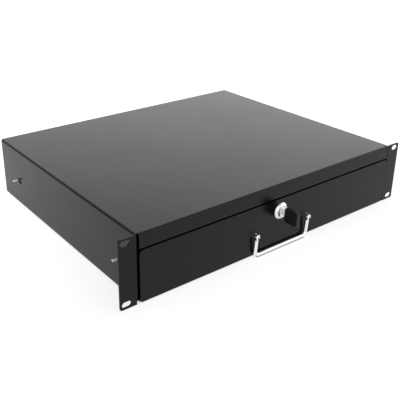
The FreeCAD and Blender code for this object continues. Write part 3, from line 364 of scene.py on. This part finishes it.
# Bright nickel over a polished casting: a light, slightly blurred mirror that drifts over a few millimetres,
# with polishing waves about 0.5 mm long.
nickel_plate = new_finish(
    "nickel_plate", {"Metallic": 1.0}, dark="#d2d2d2", light="#e6e6e6", patch=0.004, roughness=(0.14, 0.22),
    wave=0.0005, height=0.000002)
housing_low, housing_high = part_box("lock_body")
lock_level = (housing_low.z + housing_high.z) / 2
ring_radius = housing_high.x
ring_face = housing_low.y
ring_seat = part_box("drawer_front")[0].y
barrel_end = housing_high.y
# Place along the lock and radius, from the bore over land, groove, crown and cone to the sheet
bezel = [
    (ring_face, BORE),
    (ring_face, LAND_RADIUS),
    (ring_face + GROOVE_DEPTH, GROOVE_RADII[0]),
    (ring_face + GROOVE_DEPTH, GROOVE_RADII[1]),
    (ring_face + CROWN_DEPTHS[0], CROWN_RADII[0]),
    (ring_face + CROWN_DEPTHS[1], CROWN_RADII[1]),
    (ring_seat - RIM_HEIGHT - RIM_CHAMFER_HEIGHT, ring_radius - RIM_CHAMFER),
    (ring_seat - RIM_HEIGHT, ring_radius),
    (ring_seat, ring_radius),
    (ring_seat, BARREL_RADIUS),
]
tail = [(barrel_end, BARREL_RADIUS - TAIL_CHAMFER), (barrel_end, BORE)]
barrel_along = np.linspace(ring_seat + BARREL_RELIEF, barrel_end - TAIL_LENGTH, BARREL_ROWS)
housing_along = np.concatenate([[y for y, _ in bezel], barrel_along, [y for y, _ in tail]])
housing_radius = np.concatenate([
    plain_rows([radius for _, radius in bezel], RING_AROUND),
    thread_rows(barrel_along, BARREL_RADIUS - BARREL_DEPTH, BARREL_DEPTH, BARREL_PITCH, RING_AROUND),
    plain_rows([radius for _, radius in tail], RING_AROUND)])
housing_grid = turned(housing_along, housing_radius, (0, 0, lock_level), (0, 1, 0), RING_AROUND)
lock_housing = make_piece("lock_housing", [housing_grid], "drawer", nickel_plate, closed_rows=True,
                          sharp=28.0)
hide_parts("lock_body")
dress("lock_nut", bright_zinc)

# Plug and cam
# The plug turns with the key in the housing and drives a flat steel cam behind the drawer front.
# A washer and a screw hold the cam on the plug's square.

dress("lock_plug", nickel_plate)
for node in ("lock_cam", "cam_washer", "cam_screw"):
    dress(node, bright_zinc)

# Key
# A nickel-plated brass blade is moulded into a flat grip of black nylon.
# The mould's spark-eroded grain gives the grip its matt skin.

dress("key_blade", nickel_plate)
# Moulded nylon: a deep black with hardly any mirror. Its IOR of 1.53 is lowered, as the grain breaks the
# mirror up. The grain is about 0.1 mm wide, drawn coarser so that it shows.
black_nylon = new_finish(
    "black_nylon", {"IOR": 1.40}, dark="#08080a", light="#0d0d0e", patch=0.01, roughness=(0.42, 0.5),
    wave=0.0004, height=0.00001)
dress("key_bow", black_nylon)

# Handle
# A bail of chrome-plated steel rod hangs on cross pins in two slotted posts.
# The posts' studs pass through the sheet and take plain hexagon nuts.

# Bright chrome: an almost clear mirror, white where it faces the paper and dark where it faces the drawer,
# with polishing waves about a millimetre long.
chrome_plate = new_finish(
    "chrome_plate", {"Metallic": 1.0}, dark="#e6e7e8", light="#eeeff0", patch=0.01, roughness=(0.04, 0.07),
    wave=0.001, height=0.000001)
for node in ("handle_post_left", "handle_post_right", "handle_pins", "handle_bail"):
    dress(node, chrome_plate)
dress("handle_nuts", bright_zinc)

# Studio
# White paper lies under the object and glows with painted light. White walls around it are lit to about a
# third of the way overhead, under a dim ceiling with one soft lamp. The black coat and the plating mirror all
# of them.

WHITE = linear("#ffffff")
# The paper's painted glow is stronger at the back than in front of the drawer; painted shade leaves little of
# it under the case
FLOOR_GLOW = (0.77, 1.00)
FLOOR_GLOW_SPAN = (0.0, 0.45)
FLOOR_PAINTED_SHADE_SHARE = 0.1
FLOOR_PAINTED_SHADE_EDGE = (-0.016, 0.0)
# A painted shadow, as wide as the bail's rod, dims the paper's glow under its bar too, and the bar's lower
# edge mirrors it
BAIL_ROD = 0.005
BAIL_PAINTED_SHADOW_SHARE = 0.25
BAIL_PAINTED_SHADOW_EDGE = (-0.0008, 0.0004)
FLOOR_HALF = 12.0
FLOOR_GAP = 0.0002

# Matt paper: hardly any mirror, and grey enough that its painted glow makes most of the white. Its
# fibres lie in clouds about 4 mm wide.
floor_finish = new_finish(
    "lit_floor_paper", {"IOR": 1.4, "Emission Color": WHITE}, dark="#8e8e8e", light="#949494", patch=0.5,
    roughness=(0.85, 0.95), wave=0.004, height=0.00002)
paper = floor_finish.node_tree
spot = add(paper, "TexCoord", {}).outputs["Object"]
inwards = add(paper, "SeparateXYZ", {"Vector": spot}).outputs["Y"]
# Painted light: the paper glows, less in front of the drawer than at the back
painted_glow_ramp = add(paper, "MapRange", {
    "Value": inwards, "From Min": FLOOR_GLOW_SPAN[0], "From Max": FLOOR_GLOW_SPAN[1],
    "To Min": FLOOR_GLOW[0], "To Max": FLOOR_GLOW[1]}).outputs["Result"]


def shade_under(reach, front, back, edge, share):
    """Share of the paper's glow that painted shade leaves, from share to 1 between two distances outside a
    rectangle.

    The rectangle spans -reach to reach along X and front to back along Y. Distance = the larger of
    |x| - reach and |y - middle| - half the depth, so it is negative inside.
    """
    from_middle = add(paper, "VectorMath", {
        "operation": "SUBTRACT", 0: spot, 1: (0, (front + back) / 2, 0)}).outputs["Vector"]
    mirrored = add(paper, "VectorMath", {"operation": "ABSOLUTE", 0: from_middle}).outputs["Vector"]
    beyond = add(paper, "VectorMath", {
        "operation": "SUBTRACT", 0: mirrored, 1: (reach, (back - front) / 2, 0)}).outputs["Vector"]
    sides = add(paper, "SeparateXYZ", {"Vector": beyond}).outputs
    distance = add(paper, "Math", {"operation": "MAXIMUM", 0: sides["X"], 1: sides["Y"]}).outputs["Value"]
    return add(paper, "MapRange", {
        "Value": distance, "From Min": edge[0], "From Max": edge[1],
        "To Min": share, "To Max": 1.0}).outputs["Result"]


case_low, case_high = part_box("top_cover")
bail_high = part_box("handle_bail")[1]
# Painted shade on the paper: its glow is dimmed under the case, and a painted shadow dims it under the bail's
# bar
case_painted_shade = shade_under(case_high.x, case_low.y, case_high.y, FLOOR_PAINTED_SHADE_EDGE, FLOOR_PAINTED_SHADE_SHARE)
bail_painted_shadow = shade_under(bail_high.x - BAIL_ROD, bail_high.y - BAIL_ROD, bail_high.y, BAIL_PAINTED_SHADOW_EDGE,
                         BAIL_PAINTED_SHADOW_SHARE)
painted_shade_share = add(paper, "Math", {"operation": "MULTIPLY", 0: case_painted_shade, 1: bail_painted_shadow}).outputs["Value"]
paper_glow = add(paper, "Math", {"operation": "MULTIPLY", 0: painted_glow_ramp, 1: painted_shade_share}).outputs["Value"]
paper.links.new(paper_glow, paper.nodes["Principled BSDF"].inputs["Emission Strength"])
floor_level = cad_box[0].z - FLOOR_GAP
floor_mesh = bpy.data.meshes.new("floor")
floor_mesh.from_pydata(
    [(x * FLOOR_HALF, y * FLOOR_HALF, floor_level) for x, y in ((-1, -1), (1, -1), (1, 1), (-1, 1))],
    [], [(0, 1, 2, 3)])
floor_mesh.materials.append(floor_finish)
floor = bpy.data.objects.new("floor", floor_mesh)
bpy.context.scene.collection.objects.link(floor)

# The walls get brighter to the right. The spans are shares of a direction's length along X, and for the top
# along Z
WALL_LEFT = 1.48
WALL_RIGHT = 1.95
WALL_SPAN = (0.2, 0.85)
CEILING_SHARE = 0.33
WALL_TOP = (0.50, 0.80)
# A black screen behind to the left keeps the folds along the case's left side dark. Its edge is given as the
# cosine of the angle from its middle
SCREEN_TOWARDS = (-0.31, 0.80, 0.51)
SCREEN_EDGE = (0.79, 0.94)
SCREEN_SHARE = 0.12
world = bpy.data.worlds.new("studio")
bpy.context.scene.world = world
world.use_nodes = True
sky = world.node_tree
sky.nodes.clear()
direction = add(sky, "TexCoord", {}).outputs["Generated"]
parts = add(sky, "SeparateXYZ", {"Vector": direction}).outputs
wall = add(sky, "MapRange", {
    "interpolation_type": "SMOOTHSTEP", "Value": parts["X"],
    "From Min": WALL_SPAN[0], "From Max": WALL_SPAN[1],
    "To Min": WALL_LEFT, "To Max": WALL_RIGHT}).outputs["Result"]
fall = add(sky, "MapRange", {
    "interpolation_type": "SMOOTHSTEP", "Value": parts["Z"],
    "From Min": WALL_TOP[0], "From Max": WALL_TOP[1],
    "To Min": 1.0, "To Max": CEILING_SHARE}).outputs["Result"]
nearness = add(sky, "VectorMath", {
    "operation": "DOT_PRODUCT", 0: direction, 1: SCREEN_TOWARDS}).outputs["Value"]
screen = add(sky, "MapRange", {
    "interpolation_type": "SMOOTHSTEP", "Value": nearness,
    "From Min": SCREEN_EDGE[0], "From Max": SCREEN_EDGE[1],
    "To Min": 1.0, "To Max": SCREEN_SHARE}).outputs["Result"]
room = add(sky, "Math", {"operation": "MULTIPLY", 0: wall, 1: fall}).outputs["Value"]
glow = add(sky, "Math", {"operation": "MULTIPLY", 0: room, 1: screen}).outputs["Value"]
lit = add(sky, "Background", {"Color": WHITE, "Strength": glow}).outputs["Background"]
# The camera itself sees plain white behind the object
plain = add(sky, "Background", {"Color": WHITE, "Strength": 1.0}).outputs["Background"]
seen = add(sky, "LightPath", {}).outputs["Is Camera Ray"]
backdrop = add(sky, "MixShader", {"Fac": seen, 1: lit, 2: plain}).outputs["Shader"]
add(sky, "OutputWorld", {"Surface": backdrop})

# One soft box above, turned to face the case
LAMP_PLACE = (0.3, 0.2, 1.9)
LAMP_AIM = (0, 0.1, 0)
LAMP_SIZE = 1.6
LAMP_WATTS = 8
lamp_data = bpy.data.lights.new("lamp_above", "AREA")
lamp_data.size = LAMP_SIZE
lamp_data.energy = LAMP_WATTS
lamp = bpy.data.objects.new("lamp_above", lamp_data)
lamp.location = LAMP_PLACE
away = np.subtract(LAMP_PLACE, LAMP_AIM)
lamp.rotation_euler = (math.atan2(math.hypot(away[0], away[1]), away[2]), 0, math.atan2(away[0], -away[1]))
bpy.context.scene.collection.objects.link(lamp)

# Camera at the photograph's place: fitted to the edges of the case, the ears and the drawer front
CAMERA_PLACE = (-0.5352, -0.4931, 0.3708)
CAMERA_AZIMUTH = math.radians(-36.764)
CAMERA_ELEVATION = math.radians(22.60)
FOCAL_PIXELS = 629.3
FRAME_PIXELS = 400
CENTRE_PIXELS = (174.88, 161.95)
SENSOR_WIDTH = 36.0
NEAREST = 0.01
camera_data = bpy.data.cameras.new("camera")
camera_data.sensor_width = SENSOR_WIDTH
camera_data.lens = SENSOR_WIDTH * FOCAL_PIXELS / FRAME_PIXELS
camera_data.shift_x = (FRAME_PIXELS / 2 - CENTRE_PIXELS[0]) / FRAME_PIXELS
camera_data.shift_y = (CENTRE_PIXELS[1] - FRAME_PIXELS / 2) / FRAME_PIXELS
camera_data.clip_start = NEAREST
camera = bpy.data.objects.new("camera", camera_data)
camera.location = CAMERA_PLACE
camera.rotation_euler = (math.pi / 2 - CAMERA_ELEVATION, 0, CAMERA_AZIMUTH)
bpy.context.scene.collection.objects.link(camera)
bpy.context.scene.camera = camera
bpy.context.scene.view_settings.view_transform = "Standard"
